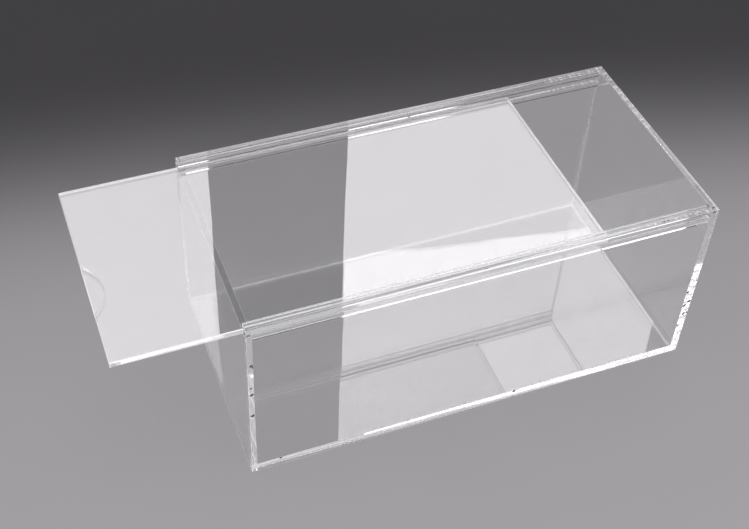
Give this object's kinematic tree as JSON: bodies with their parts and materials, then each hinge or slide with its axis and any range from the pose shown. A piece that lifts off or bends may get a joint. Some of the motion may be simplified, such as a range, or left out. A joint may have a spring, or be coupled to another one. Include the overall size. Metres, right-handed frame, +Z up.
{
  "type": "storage box with sliding lid",
  "caption": "Clear rectangular storage box of glued sheet, with a flat lid that slides in rails over a lower end wall and has a shallow finger recess.",
  "frame": {"origin": "middle of the box's underside, in the plane of the surface that it stands on", "axes": "+X along the box towards the full-height end wall, +Y from the front long wall to the back one, +Z up; the lid pulls out towards -X"},
  "size_m": [0.3765, 0.152, 0.132],
  "materials": {
    "clear_sheet": "clear cast acrylic sheet with polished faces and cut edges",
    "clear_strip": "clear acrylic strip cut from sheet, with saw-cut long sides",
    "clear_lid": "clear cast acrylic sheet with polished faces, fine handling marks and softly bevelled edges"
  },
  "bodies": {
    "box": {"base_panel": "clear_sheet", "front_wall": "clear_sheet", "back_wall": "clear_sheet", "left_end_wall": "clear_sheet", "right_end_wall": "clear_sheet", "front_lower_rail": "clear_strip", "back_lower_rail": "clear_strip", "front_upper_rail": "clear_strip", "back_upper_rail": "clear_strip"},
    "lid": {"lid": "clear_lid"}
  },
  "joints": [
    {"name": "lid_slide", "type": "slide", "parent": "box", "child": "lid", "axis": [-1, 0, 0], "range_m": [-0.07, 0.232]}
  ]
}
